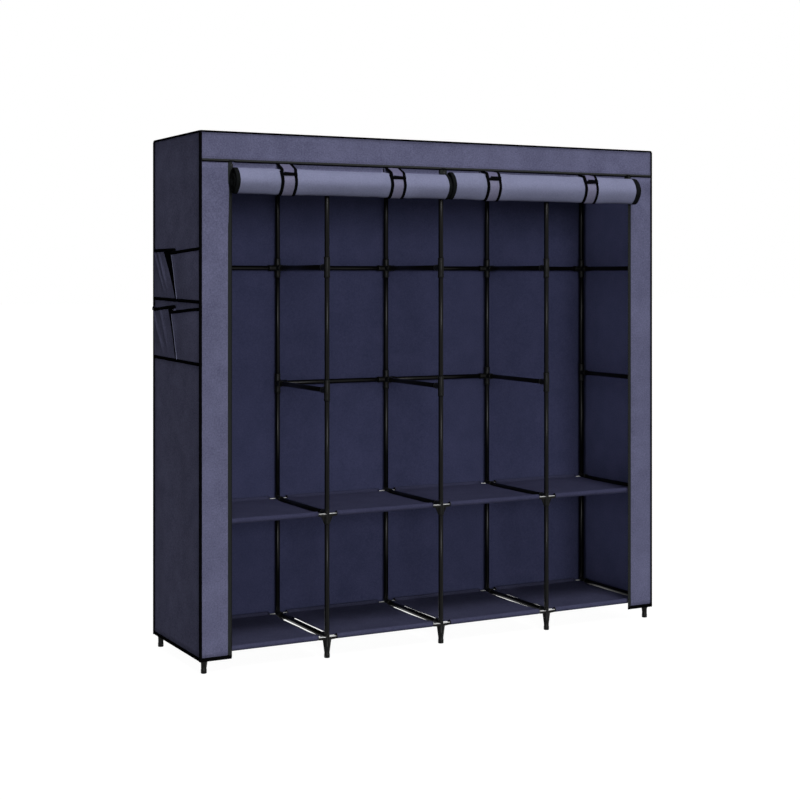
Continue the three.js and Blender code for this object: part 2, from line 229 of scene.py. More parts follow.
def plate(outline, thickness, rounding, centre):  # upright web in the X-Z plane, outline as (x, z)
    midX = sum(x for x, z in outline) / len(outline)
    midZ = sum(z for x, z in outline) / len(outline)
    rows = []
    for depth, shrink in [(-0.5, 1), (-0.5 + rounding, 0), (0.5 - rounding, 0), (0.5, 1)]:
        ring = []
        for x, z in outline:
            reach = math.hypot(x - midX, z - midZ)
            keep = 1 - shrink * rounding * thickness / reach
            place = (midX + (x - midX) * keep, depth * thickness, midZ + (z - midZ) * keep)
            ring.append(Vector(centre) + Vector(place))
        rows.append(ring)
    return skin(rows, ringClosed=True, capped=True)


def addPiece(name, shell, materials, body="root", materialOf=None, sharpDegrees=50, closed=True):
    points, faces = shell
    mesh = bpy.data.meshes.new(name)
    mesh.from_pydata([tuple(point) for point in points], [], faces)
    for each in materials:
        mesh.materials.append(each)
    if materialOf:
        for face in mesh.polygons:
            face.material_index = materialOf(face.center)
    mesh.shade_smooth()
    mesh.set_sharp_from_angle(angle=math.radians(sharpDegrees))
    mesh.validate()
    if closed:
        work = bmesh.new()
        work.from_mesh(mesh)
        bmesh.ops.recalc_face_normals(work, faces=work.faces)
        work.to_mesh(mesh)
        work.free()
    piece = placed(name, mesh)
    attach(piece, body)
    return piece


def sewn(name, lines, normal, lift=0.0):  # rows of stitches as one piece
    shell = joined([stitches(line, normal, lift) for line in lines])
    return addPiece(f"{name}_stitching", shell, [threads], closed=False)


def clothPiece(name, rows, materials, thickness, liner=0, materialOf=None):
    piece = addPiece(name, skin(rows), materials, materialOf=materialOf, closed=False)
    # It grows to its inner side, which may have its own finish: the door's lining, or for the cover a darker
    # copy of its cloth that paints the interior's shade
    solid = piece.modifiers.new("clothThickness", "SOLIDIFY")
    solid.thickness, solid.offset = thickness, -1
    solid.material_offset = liner
    return piece


# Materials
def linear(hexColour):
    channels = [int(hexColour[i:i + 2], 16) / 255 for i in (1, 3, 5)]
    return [c / 12.92 if c <= 0.04045 else ((c + 0.055) / 1.055) ** 2.4 for c in channels] + [1.0]


def addNode(tree, kind, settings, links=None):
    node = tree.nodes.new(kind)
    for name, value in settings.items():
        if isinstance(name, int) or name in node.inputs:
            node.inputs[name].default_value = value
        else:
            setattr(node, name, value)
    for name, source in (links or {}).items():
        tree.links.new(source, node.inputs[name])
    return node


def newMaterial(name, roughness, specular=0.5):
    made = bpy.data.materials.new(name)
    made.use_nodes = True
    tree = made.node_tree
    shader = tree.nodes["Principled BSDF"]
    shader.inputs["Roughness"].default_value = roughness
    shader.inputs["Specular IOR Level"].default_value = specular
    place = addNode(tree, "ShaderNodeTexCoord", {}).outputs["Object"]
    return made, tree, shader, place


def perMetre(size):  # texture scale at which one feature is this big
    return 1 / size


def noiseTexture(tree, place, size, detail, roughness=0.5):
    settings = {"Scale": perMetre(size), "Detail": detail, "Roughness": roughness}
    return addNode(tree, "ShaderNodeTexNoise", settings, {"Vector": place}).outputs["Fac"]


def toneRamp(tree, value, dark, light, low=0.3, high=0.7):
    ramp = addNode(tree, "ShaderNodeValToRGB", {}, {"Fac": value})
    ramp.color_ramp.elements[0].position, ramp.color_ramp.elements[1].position = low, high
    ramp.color_ramp.elements[0].color, ramp.color_ramp.elements[1].color = linear(dark), linear(light)
    return ramp.outputs["Color"]


def bumped(tree, shader, height, depth, strength):
    bump = addNode(tree, "ShaderNodeBump", {"Distance": depth, "Strength": strength}, {"Height": height})
    tree.links.new(bump.outputs["Normal"], shader.inputs["Normal"])


clothLook = {
    "fibre": (5 * mm, 5.0, 0.75),  # size, detail and roughness of the fibre clumps, 1 to 2 mm when real
    "cloud": (70 * mm, 3.0),  # size and detail of the web's uneven density
    "dot": 3 * mm,  # pressed bond points, 1.5 mm apart on the real cloth, drawn coarser to show
    "dotStray": 0.25,  # how far the points stray from their grid
    "dotDepth": 0.6,  # of the points, against that of the fibre
    "shares": (0.75, 0.25),  # of fibre and cloud in the tone
    "ramp": (0.37, 0.63),  # the part of that mix that runs from dark to light
    "specular": 0.02,  # the web's own shine, next to nothing
    "relief": 0.25 * mm,
    "reliefStrength": 0.5,
}
clothTones = {  # dark tone, light tone, roughness
    "spunbondPolypropyleneOuter": ("#54556f", "#717290", 0.85),
    # the inner face: the outer cloth made darker, painted shade for the interior
    "spunbondPolypropyleneShadedInner": ("#2d3048", "#393b56", 0.9),
    "calenderedPolypropyleneLining": ("#7a7d98", "#898caa", 0.5),
    "spunbondPolypropyleneStrap": ("#63617d", "#75738f", 0.85),
    "spunbondPolypropyleneLoop": ("#73728b", "#85849e", 0.85),
    "spunbondPolypropyleneBase": ("#34354a", "#43445b", 0.9),
    "spunbondPolypropyleneShelf": ("#2e2f44", "#3a3b52", 0.9),
}


# Spunbond polypropylene, calendered: matte fibre web with mottled tone and a grid of pressed dots
def spunbondPolypropylene(name, dark, light, roughness):
    made, tree, shader, place = newMaterial(name, roughness, clothLook["specular"])
    fibreShare, cloudShare = clothLook["shares"]
    fibre, cloud = [noiseTexture(tree, place, *clothLook[part]) for part in ("fibre", "cloud")]
    weight = addNode(tree, "ShaderNodeMath", {"operation": "MULTIPLY", 1: cloudShare}, {0: cloud})
    tone = addNode(tree, "ShaderNodeMath", {"operation": "MULTIPLY_ADD", 1: fibreShare},
                   {0: fibre, 2: weight.outputs[0]})
    tree.links.new(toneRamp(tree, tone.outputs[0], dark, light, *clothLook["ramp"]),
                   shader.inputs["Base Color"])
    dots = addNode(tree, "ShaderNodeTexVoronoi", {"feature": "F1", "Randomness": clothLook["dotStray"],
                                                  "Scale": perMetre(clothLook["dot"])}, {"Vector": place})
    height = addNode(tree, "ShaderNodeMath", {"operation": "MULTIPLY_ADD", 1: clothLook["dotDepth"]},
                     {0: dots.outputs["Distance"], 2: fibre})
    bumped(tree, shader, height.outputs[0], clothLook["relief"], clothLook["reliefStrength"])
    return made


tapeTones = {  # dark tone, light tone, distance between ribs, about twice the real one so that it shows
    "polyesterBiasBinding": ("#060607", "#0d0d0f", 1.6 * mm),
    "polyesterZipTape": ("#222425", "#343736", 1.3 * mm),
    "polyesterSeamTape": ("#2c2d30", "#3f4141", 1.3 * mm),
    "polyesterZipTapeRolled": ("#101112", "#1f2122", 1.3 * mm),
    "polyesterThread": ("#1d1d26", "#2b2b36", 0.8 * mm),
}


waveTurn = 6.283  # the wave texture counts in radians
weave = {"turn": (0.6, 0.7, 0.8), "distortion": 1.5, "detail": 2.0, "ramp": (0.1, 0.9), "roughness": 0.8,
         "specular": 0.0, "relief": 0.2 * mm, "strength": 0.4}


# Woven polyester of bindings, tapes and threads: near black, with fine slanting ribs that catch some light
def wovenPolyester(name, dark, light, ribGap):
    made, tree, shader, place = newMaterial(name, weave["roughness"], weave["specular"])
    turnedPlace = addNode(tree, "ShaderNodeMapping", {"Rotation": weave["turn"]}, {"Vector": place})
    settings = {"wave_type": "BANDS", "Scale": perMetre(ribGap) / waveTurn, "Distortion": weave["distortion"],
                "Detail": weave["detail"]}
    ribs = addNode(tree, "ShaderNodeTexWave", settings, {"Vector": turnedPlace.outputs["Vector"]})
    tree.links.new(toneRamp(tree, ribs.outputs["Fac"], dark, light, *weave["ramp"]),
                   shader.inputs["Base Color"])
    bumped(tree, shader, ribs.outputs["Fac"], weave["relief"], weave["strength"])
    return made


# Drawn steel tube, baked enamel: satin black with a faint orange peel that softens its one bright strip
bakedEnamel = {"tones": ("#030303", "#060606"), "grain": 2.5 * mm, "detail": 2.0, "roughness": 0.24,
               "specular": 0.11, "relief": 0.04 * mm, "strength": 0.15}
# Polypropylene, injection moulded with a spark-eroded grain: soft black; a pale copy of it paints the
# highlight along the tops of the shelf connectors' ribs
mouldedPolypropylene = {"tones": ("#060606", "#0c0d0c"), "grain": 1.2 * mm, "detail": 4.0, "roughness": 0.4,
                        "specular": 0.1, "relief": 0.08 * mm, "strength": 0.35}
highlightPaintedPolypropylene = {**mouldedPolypropylene, "tones": ("#c4c5c5", "#e2e3e2")}
# Zinc, die cast and enamelled: satin black with a soft glint on its bridge
enamelledZinc = {"tones": ("#101012", "#19191c"), "grain": 2 * mm, "detail": 2.0, "roughness": 0.42,
                 "specular": 0.25, "relief": 0.04 * mm, "strength": 0.3}


def grained(name, look):  # one fine noise gives both the tone and the relief
    made, tree, shader, place = newMaterial(name, look["roughness"], look["specular"])
    grain = noiseTexture(tree, place, look["grain"], look["detail"])
    tree.links.new(toneRamp(tree, grain, *look["tones"]), shader.inputs["Base Color"])
    bumped(tree, shader, grain, look["relief"], look["strength"])
    return made


coverCloth, shadedInnerCloth, doorLining, strapCloth, loopCloth, baseCloth, shelfCloth = [
    spunbondPolypropylene(name, *look) for name, look in clothTones.items()]
binding, zipTape, seamTape, rolledTape, threads = [
    wovenPolyester(name, *look) for name, look in tapeTones.items()]
zipCoil = grained("nylonZipCoil", mouldedPolypropylene)
tubeEnamel = grained("bakedEnamelOnSteel", bakedEnamel)
moulding = grained("mouldedPolypropylene", mouldedPolypropylene)
paintedHighlightMoulding = grained("highlightPaintedPolypropylene", highlightPaintedPolypropylene)
sliderEnamel = grained("enamelledZinc", enamelledZinc)
print("materials made")


# Frame: tubes plugged into moulded connectors
tube = {"radius": 8 * mm, "plugFrom": 9.5 * mm, "edge": 0.5 * mm, "sides": 24}
connector = {"reach": 33.5 * mm, "radius": 10 * mm, "collar": 10.5 * mm, "collarLength": 6 * mm,
             "neck": 9.6 * mm, "neckProud": 0.2 * mm, "neckLap": 1 * mm, "mouth": 8.3 * mm,
             "mouthDepth": 2 * mm, "lip": 0.6 * mm, "sides": 24}
rib = {"from": 0.5, "tip": 1 * mm, "shrinks": (1.0, 0.8, 0.65), "height": 9 * mm, "depth": 15 * mm,
       "below": 0.5 * mm, "ledge": 1.7 * mm, "ledgeDepth": 13 * mm, "ledgeSunk": 1 * mm, "nip": 0.8 * mm,
       "overTube": 1.5 * mm}
web = {"thickness": 4 * mm, "gussetReach": 20 * mm, "gussetDrop": 37 * mm, "footTop": 15.5 * mm,
       "footBottom": 9.3 * mm, "footRise": 18 * mm, "footRadius": 9 * mm, "rounding": 0.3,
       "rootAt": 0.6, "heel": 5 * mm, "toe": 3 * mm}
railColumns = {  # level, place in the depth, first and last column
    "lower_front_rail": (0, postFront, 0, 4), "lower_back_rail": (0, postBack, 0, 4),
    "shelf_front_rail": (1, postFront, 0, 4), "shelf_back_rail": (1, postBack, 0, 4),
    "middle_back_rail": (2, postBack, 1, 3), "upper_back_rail": (3, postBack, 0, 4),
    "top_front_rail": (4, postFront, 0, 4), "top_back_rail": (4, postBack, 0, 4),
}
shelfLevels = (0, 1)


def tubeBetween(start, end, plugFrom=tube["plugFrom"]):
    start, end = Vector(start), Vector(end)
    along = (end - start).normalized()
    length = (end - start).length - 2 * plugFrom
    edge = tube["edge"]
    profile = [(tube["radius"] - edge, 0), (tube["radius"], edge), (tube["radius"], length - edge),
               (tube["radius"] - edge, length)]
    return turned(profile, start + along * plugFrom, along, tube["sides"])


def tubeRow(name, stops, *nodes, plugFrom=tube["plugFrom"]):
    shell = joined([tubeBetween(start, end, plugFrom) for start, end in zip(stops, stops[1:])])
    row = addPiece(name, shell, [tubeEnamel])
    if nodes:
        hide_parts(*nodes)
    return row


def arm(centre, direction):
    reach, radius, neck, lip = connector["reach"], connector["radius"], connector["neck"], connector["lip"]
    collar, mouth, step = connector["collar"], connector["mouth"], reach - connector["collarLength"]
    profile = [(radius, 0), (radius, 0.4 * reach), (neck, 0.45 * reach), (neck, step - lip), (collar, step),
               (collar, reach - lip), (collar - lip, reach), (mouth, reach),
               (mouth, reach - connector["mouthDepth"])]
    return turned(profile, centre, direction, connector["sides"])


def flatArm(centre, side, top, height, depth):  # the rib that a tube's end plugs on, seen beside the cloth
    full = connector["reach"]
    rows = []
    for reach, keep in zip((connector["radius"] * rib["from"], full - rib["tip"], full), rib["shrinks"]):
        ring = clippedRing(depth / 2 * keep, top - height * keep, top, rib["nip"])
        rows.append([centre + Vector((side * reach, y, z)) for y, z in ring])
    return skin(rows, ringClosed=True, capped=True)


def plug(centre):  # the short neck below a post's tube, which hides the rest of the plug
    radius, rise = tube["radius"] + connector["neckProud"], tube["plugFrom"] + connector["neckLap"]
    profile = [(radius, 0), (radius, rise), (radius - connector["neckLap"], rise)]
    return turned(profile, centre, (0, 0, 1), connector["sides"])


def footArm(centre):
    top, collar, radius, drop = connector["radius"], connector["collar"], web["footRadius"], centre.z
    profile = [(top, 0), (top, 0.42 * drop), (collar, 0.44 * drop), (collar, 0.5 * drop),
               (radius, 0.53 * drop), (radius - 0.4 * mm, 0.8 * drop), (radius + 0.3 * mm, 0.82 * drop),
               (radius + 0.3 * mm, drop - 1 * mm), (radius - 0.7 * mm, drop)]
    return turned(profile, centre, (0, 0, -1), connector["sides"])


def webs(centre, level, sides):
    left, right = -int(-1 in sides), int(1 in sides)
    under = -connector["radius"] * web["rootAt"]
    if level == 0:
        top, bottom, low = web["footTop"], web["footBottom"], web["footRise"] - centre.z
        outline = [(left * top, under), (left * bottom, low), (right * bottom, low), (right * top, under)]
    else:
        reach, heel, toe = web["gussetReach"], under - web["heel"], web["toe"]
        low = -connector["radius"] - web["gussetDrop"]
        outline = [(left * reach, under), (left * reach, heel), (-toe, low), (toe, low),
                   (right * reach, heel), (right * reach, under)]
    return plate(outline, web["thickness"], web["rounding"], centre)


def joint(name, centre, directions, level=None):
    centre = Vector(centre)
    shells = []
    for direction in directions:
        if level == 0 and direction[2] < 0:
            shells.append(footArm(centre))
        elif level in shelfLevels and direction[0]:
            shells.append(flatArm(centre, direction[0], -rib["below"], rib["height"], rib["depth"]))
        elif level in shelfLevels and direction[2] > 0:
            shells.append(plug(centre))
        else:
            shells.append(arm(centre, direction))
    if level in shelfLevels:
        sides = [d[0] for d in directions if d[0]]
        shells.append(webs(centre, level, sides))
        # pale strips along the tops of the ribs: a painted highlight
        ledges = [flatArm(centre, side, rib["ledge"] - rib["ledgeSunk"], rib["ledge"], rib["ledgeDepth"])
                  for side in sides]
        addPiece(f"{name}_ledge", joined(ledges), [paintedHighlightMoulding])
    return addPiece(name, joined(shells), [moulding])


for column, x in enumerate(columnX):
    stopsFront = [(x, postFront, z) for z in levels]
    stopsBack = [(x, postBack, z) for z in levels]
    number = column + 1
    tubeRow(f"upright_front_{number}", stopsFront, f"front_lower_post_{number}", f"front_upper_post_{number}")
    tubeRow(f"upright_back_{number}", stopsBack, f"back_post_{number}")
    for level, z in enumerate(levels):
        stops = [(x, postFront, z), (x, postBack, z)]
        if level == 4:
            stops.insert(1, (x, halfDepth, z))
        tubeRow(f"depth_tube_{number}_{level + 1}", stops)
    sides = [side for side in (-1, 1) if 0 <= column + side <= 4]
    joint(f"tee_{number}", (x, halfDepth, levels[4]), [(0, -1, 0), (0, 1, 0)] + [(s, 0, 0) for s in sides])

for name, (level, y, first, last) in railColumns.items():
    plugFrom = connector["reach"] - rib["overTube"] if level in shelfLevels else tube["plugFrom"]
    tubeRow(f"{name}_tubes", [(columnX[column], y, levels[level]) for column in range(first, last + 1)], name,
            plugFrom=plugFrom)

for bay in range(4):
    stops = [(columnX[bay], halfDepth, levels[4]), (columnX[bay + 1], halfDepth, levels[4])]
    tubeRow(f"hanging_tube_{bay + 1}", stops, f"hanging_rod_{bay + 1}")

for place, y, inward in (("front", postFront, 1), ("back", postBack, -1)):
    for level, z in enumerate(levels):
        for column, x in enumerate(columnX):
            directions = [(0, inward, 0), (0, 0, -1)] + ([(0, 0, 1)] if level < 4 else [])
            for rail, (railLevel, railY, first, last) in railColumns.items():
                if railLevel == level and railY == y:
                    directions += [(-1, 0, 0)] if first < column <= last else []
                    directions += [(1, 0, 0)] if first <= column < last else []
            joint(f"connector_{place}_{column + 1}_{level + 1}", (x, y, z), directions, level)
print("frame built")


# Cover: sewn panels with soft ripples, bound in black along every edge of the box
cover = {"thickness": 1.0 * mm, "ripple": 2.2 * mm, "edges": (0.08, 0.06), "foldsUp": 1.6,
         "fineFolds": (2.6, 5.2), "fineShare": 0.4, "hem": 12 * mm, "hemThickness": 3.0 * mm,
         "hemBelow": 1 * mm, "hemCorner": 5 * mm}


def ripple(u, v, seed, folds, size):
    (fadeU, fadeV), (fineU, fineV) = cover["edges"], cover["fineFolds"]
    fade = smooth(min(u, 1 - u) / fadeU) * smooth(min(v, 1 - v) / fadeV)
    broad = rough(u * folds, v * cover["foldsUp"], seed)
    return size * fade * (broad + cover["fineShare"] * rough(u * folds * fineU, v * fineV, seed + 9))


def panel(name, corner, across, up, steps, seed, folds, size, flat, node):
    corner, across, up, size = Vector(corner), Vector(across), Vector(up), size * cover["ripple"]
    outward = across.cross(up).normalized()
    rows = []
    for v in spread(0, 1, steps[1]):
        rows.append([corner + across * u + up * v + outward * ripple(u, v, seed, folds, size)
                     for u in spread(0, 1, steps[0])])
    # the inner face takes the darker copy of the cloth: painted shade for the interior
    piece = clothPiece(name, rows, [coverCloth, shadedInnerCloth], cover["thickness"], 1)
    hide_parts(node)


width, depth, height = rightX - leftX, backY - frontY, topZ - hemZ
openHeight, flapWidth = bandZ - hemZ, openLeft - leftX
panels = {  # corner, across, up, steps, seed, folds, share of the ripple, flat size, node
    "cover_left": ((leftX, backY, hemZ), (0, -depth, 0), (0, 0, height), (28, 60), 3, 2.2, 1,
                   (0.45, 1.66), "cover_left_side"),
    "cover_right": ((rightX, frontY, hemZ), (0, depth, 0), (0, 0, height), (28, 60), 5, 2.2, 1,
                    (0.45, 1.66), "cover_right_side"),
    "cover_rear": ((rightX, backY, hemZ), (-width, 0, 0), (0, 0, height), (110, 60), 8, 9, 1.3,
                   (1.74, 1.66), "cover_back"),
    "cover_roof": ((leftX, frontY, topZ), (width, 0, 0), (0, depth, 0), (110, 28), 13, 9, 1,
                   (1.74, 0.45), "cover_top"),
    "cover_band": ((leftX, frontY, bandZ), (width, 0, 0), (0, 0, topZ - bandZ), (110, 10), 21, 12, 0.7,
                   (1.74, 0.11), "cover_front_band"),
    "flap_left": ((leftX, frontY, hemZ), (flapWidth, 0, 0), (0, 0, openHeight), (10, 60), 27, 1.1, 0.8,
                  (0.12, 1.57), "cover_left_flap"),
    "flap_right": ((openRight, frontY, hemZ), (rightX - openRight, 0, 0), (0, 0, openHeight), (10, 60), 31,
                   1.1, 0.8, (0.12, 1.57), "cover_right_flap"),
}
for name, sewing in panels.items():
    panel(name, *sewing)

piping = {"width": 10.5 * mm, "height": 6 * mm, "lift": 0.6 * mm, "corner": 9 * mm, "belowTop": 2 * mm}
bead = ovalSection(piping["width"], piping["height"], 10, piping["lift"])


def piped(name, points, normal):
    path = divided(cornered(points, piping["corner"]))
    addPiece(name, swept(path, bead, normal), [binding])


boxCorners = [(leftX, frontY), (rightX, frontY), (rightX, backY), (leftX, backY)]
for number, (x, y) in enumerate(boxCorners):
    outward = Vector((math.copysign(1, x - middleX), math.copysign(1, y - halfDepth), 0))
    piped(f"corner_piping_{number + 1}", [(x, y, hemZ), (x, y, topZ - piping["belowTop"])], outward)
middleFront = (middleX, frontY)
ring = [middleFront] + boxCorners[1:] + [boxCorners[0], middleFront]
piped("top_piping", [(x, y, topZ) for x, y in ring], (0, 0, 1))

hemLine = [(openLeft, frontY), boxCorners[0]] + boxCorners[:0:-1] + [(openRight, frontY)]
bindingZ = hemZ + cover["hem"] / 2 - cover["hemBelow"]
hemPath = divided(cornered([(x, y, bindingZ) for x, y in hemLine], cover["hemCorner"]))


def hemOut(i):
    along = hemPath[min(i + 1, len(hemPath) - 1)] - hemPath[max(i - 1, 0)]
    out = along.cross(Vector((0, 0, 1)))
    return out if out.dot(hemPath[i] - Vector((middleX, halfDepth, 0))) > 0 else -out


hemShell = ribbon(hemPath, cover["hem"], cover["hemThickness"], hemOut)
addPiece("hem_binding", hemShell, [binding])

seam = {"tape": 6.5 * mm, "tapeThickness": 1.2 * mm, "tapeRise": 3.5 * mm,
        "cord": 4 * mm, "cordThickness": 3.2 * mm, "cordRise": -1.2 * mm, "cordStep": 3 * mm,
        "arch": 2.4 * mm, "archFlat": 6 * mm, "archFoot": 6 * mm,
        "off": 0.6 * mm, "rows": (8.5 * mm, 12 * mm), "threadOff": 0.4 * mm}
front = Vector((0, -1, 0))
sliderX = [middle(f"zip_slider_{place}").x for place in ("left", "middle", "right")]


def overSlider(x):  # the cord arches up a little over each zip, where the slider comes home
    away = min(abs(x - place) for place in sliderX)
    return seam["arch"] * (1 - smooth((away - seam["archFlat"]) / seam["archFoot"]))


def alongBand(part, finish, step=pathStep):
    y, z = frontY - seam["off"], bandZ + seam[f"{part}Rise"]
    path = divided([(leftX, y, z), (rightX, y, z)], step)
    if part == "cord":
        path = [point + Vector((0, 0, overSlider(point.x))) for point in path]
    shell = ribbon(path, seam[part], seam[f"{part}Thickness"], front)
    addPiece(f"band_{part}", shell, [finish])


alongBand("tape", seamTape)
alongBand("cord", binding, seam["cordStep"])
bandRows = [[(x, frontY - seam["threadOff"], bandZ + rise) for x in (leftX, rightX)] for rise in seam["rows"]]
sewn("band", bandRows, front)


# Zips: tape and coil down both sides of the opening, and a stub of the middle zip above the rolls
zipSize = {"tape": 12 * mm, "tapeThickness": 0.8 * mm, "coil": 3.2 * mm, "pitch": 3 * mm, "coilNip": 0.62,
           "coilFlat": 0.7, "coilOff": 0.6 * mm, "seamAt": 0.85, "off": 0.5 * mm, "step": 50 * mm,
           "overHem": 2 * mm, "underBand": 1 * mm, "gap": 1.2 * mm, "stub": 18 * mm}


def coilLine(x, y, low, high):
    count = round((high - low) / zipSize["pitch"])
    rows = []
    for i in range(count * 4 + 1):
        z = low + (high - low) * i / (count * 4)
        radius = zipSize["coil"] / 2 * (1.0 if i % 4 in (1, 2) else zipSize["coilNip"])
        rows.append([(x + radius * math.cos(a), y + zipSize["coilFlat"] * radius * math.sin(a), z)
                     for a in ringAngles(6)])
    return skin(rows, ringClosed=True, capped=True)


def zipSide(name, edge, side, low, high):
    y = frontY - zipSize["off"]
    x, seamX = edge + side * zipSize["tape"] / 2, edge + side * zipSize["seamAt"] * zipSize["tape"]
    path = divided([(x, y, low), (x, y, high)], zipSize["step"])
    tape = ribbon(path, zipSize["tape"], zipSize["tapeThickness"], front)
    addPiece(f"{name}_tape", tape, [zipTape])
    addPiece(f"{name}_coil", coilLine(edge, y - zipSize["coilOff"], low, high), [zipCoil])
    sewn(name, [[(seamX, y - zipSize["off"], z) for z in (low, high)]], front)


for half, side, edge in (("left", -1, openLeft), ("right", 1, openRight)):
    zipSide(f"zip_{half}", edge, side, hemZ + zipSize["overHem"], bandZ - zipSize["underBand"])
for half, side in (("left", -1), ("right", 1)):
    edge = (openLeft + openRight) / 2 + side * zipSize["gap"]
    zipSide(f"zip_middle_{half}", edge, side, bandZ - zipSize["stub"], bandZ - 2 * zipSize["underBand"])
print("cover sewn")


# Doors: each rolled up under the band from its hem, with its zip tape wound into the ends
roll = {
    "turns": 10.2, "core": 3.5 * mm, "pointsPerTurn": 28, "step": 11 * mm, "cloth": 0.6 * mm,
    "drop": {"left": 19 * mm, "right": 10 * mm},  # from the seam to the top of the roll
    "borders": {"left": (14 * mm, 14 * mm), "right": (14 * mm, 23 * mm)},  # zip tape at the two ends
    "borderRise": 0.9 * mm, "pinch": 1.2 * mm, "swell": 1.2 * mm, "wander": 0.8 * mm, "endDraw": 1.2 * mm,
    "strapClear": 12 * mm, "drawReach": 6 * mm, "borderStep": 1.5 * mm, "endStep": 4 * mm,
    "endStray": 0.6 * mm, "endMiddle": 1.2 * mm, "ovalPower": 1.58, "nip": 11 * mm, "nipReach": 60 * mm,
    "recess": 4.5 * mm, "pinchFade": (-0.25, 0.9), "swellRise": (-0.1, 0.5), "swellFade": (0.5, 1.3),
    "creases": ((9, 0.8), (26, 1.7)), "creaseFrom": 0.15, "flatten": 1.15, "flat": (0.757, 1.545),
}
endSteps = [(0, 0), (0.2, 0), (0.24, -2.4 * mm), (0.46, -2.4 * mm), (0.5, 1.2 * mm), (0.72, 1.2 * mm),
            (0.76, -1.5 * mm), (1, -1.5 * mm)]  # how far the turns stand out at the ends, from outside in
strapAside = -5.5 * mm  # the straps hang a little left of where they are sewn on
strapX = [middle(f"strap_tab_{i + 1}").x + strapAside for i in range(4)]
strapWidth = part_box("strap_tab_1")[1].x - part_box("strap_tab_1")[0].x


def rollFrame(side):  # centre and half sizes of a roll's oval, seen from the side
    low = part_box(f"door_{side}")[0]
    high, back = bandZ - roll["drop"][side], frontY + 0.5 * mm
    return (low.y + back) / 2, (low.z + high) / 2, (back - low.y) / 2, (high - low.z) / 2


def ovalShare(angle):  # keeps the oval's four ends and draws its corners in
    power = roll["ovalPower"]
    return (abs(math.cos(angle)) ** power + abs(math.sin(angle)) ** power) ** (-1 / power)


def ovalPoint(side, turns, offset, nip=0.0):  # turns counted from +Y towards +Z
    y, z, out, up = rollFrame(side)
    angle = 2 * math.pi * turns
    across, tall = (out - nip / 2) * ovalShare(angle) + offset, up * ovalShare(angle) + offset
    return y + nip / 2 + across * math.cos(angle), z + tall * math.sin(angle)


def fromStrap(x):  # distance from the nearest strap's edge
    return min(abs(x - strap) for strap in strapX) - strapWidth / 2


def squeeze(x):  # the straps draw the roll in, with a soft swelling beside them
    away = fromStrap(x) / (strapWidth / 2)
    fade, swelling, sinking = [smooth((away - start) / reach) for start, reach in (
        roll["pinchFade"], roll["swellRise"], roll["swellFade"])]
    return -roll["pinch"] * (1 - fade) + roll["swell"] * swelling * (1 - sinking)


def between(table, share):
    for (start, low), (end, high) in zip(table, table[1:]):
        if share <= end:
            return low + (high - low) * (share - start) / (end - start)
    return table[-1][1]


def pastBorder(side, x, ends):  # how far a place is from the zip tapes at a roll's ends, below 0 on them
    first, last = roll["borders"][side]
    return min(x - ends[0] - first, ends[1] - last - x)


def rollSection(side, x, ends, seed):
    centreY, centreZ, out, up = rollFrame(side)
    nearEnd = min(abs(x - end) for end in ends)
    nip = roll["nip"] * (1 - smooth(fromStrap(x) / roll["nipReach"]))
    centreY, out = centreY + nip / 2, out - nip / 2
    clear = smooth(fromStrap(x) / roll["strapClear"])
    (along, about), (fineAlong, fineAbout) = roll["creases"]
    section = []
    for z in spread(bandZ - 0.5 * mm, centreZ + 4 * mm, 12)[:-1]:
        strip = min((bandZ - z) / roll["drop"]["left"], 1)
        section.append((x, frontY + 0.8 * mm + clear * roll["recess"] * math.sin(math.pi * strip) ** 0.7, z))
    count = round(roll["turns"] * roll["pointsPerTurn"])
    for i in range(count + 1):
        wound = i / roll["pointsPerTurn"]
        share = wound / roll["turns"]
        angle = 2 * math.pi * wound
        crease = rough(x * along, math.cos(angle) * about + seed, math.sin(angle) * about)
        crease += 0.5 * rough(x * fineAlong, math.cos(angle) * fineAbout, math.sin(angle) * fineAbout + seed)
        drawn = squeeze(x) + roll["wander"] * crease * smooth(wound / roll["creaseFrom"])
        drawn -= roll["endDraw"] * (1 - smooth(nearEnd / roll["drawReach"]))
        drawn += roll["borderRise"] * (1 - smooth(pastBorder(side, x, ends) / roll["borderStep"]))
        keep = ovalShare(angle)
        across = max((out - share * (out - roll["core"])) * keep + drawn * (1 - share), 1 * mm)
        tall = max((up - share * roll["flatten"] * (out - roll["core"])) * keep + drawn * (1 - share), 1 * mm)
        section.append((x, centreY + across * math.cos(angle), centreZ - tall * math.sin(angle)))
    return section


def doorStations(side, low, high):
    count, step = round((high - low) / roll["step"]), roll["endStep"]
    stations = [x for x in spread(low, high, count) if pastBorder(side, x, (low, high)) > step]
    for end, inward, border in zip((low, high), (1, -1), roll["borders"][side]):
        stations += [end + inward * d for d in (0, step, border / 2, border, border + roll["borderStep"])]
    return sorted(stations)


def rolledDoor(name, side, seed):
    ends = [corner.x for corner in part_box(f"door_{side}")]
    rows = [rollSection(side, x, ends, seed) for x in doorStations(side, *ends)]
    wound = round(roll["turns"] * roll["pointsPerTurn"])
    for row, ahead in ((rows[0], -1), (rows[-1], 1)):  # the turns don't end flush
        flat = len(row) - wound - 1
        for i, (x, y, z) in enumerate(row):
            share = max(i - flat, 0) / wound
            stagger = between(endSteps, share) + roll["endStray"] * rough(i * 0.03, seed, 5)
            row[i] = (x + ahead * (stagger - roll["endMiddle"]), y, z)

    def finish(centre):
        return 2 if pastBorder(side, centre.x, ends) < 0 else 0
    door = clothPiece(name, rows, [coverCloth, doorLining, rolledTape, rolledTape],
                      roll["cloth"], 1, finish)
    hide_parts(f"door_{side}")
    return door


for side, seed in (("left", 2), ("right", 6)):
    door = rolledDoor(f"rolled_door_{side}", side, seed)
print("doors rolled")


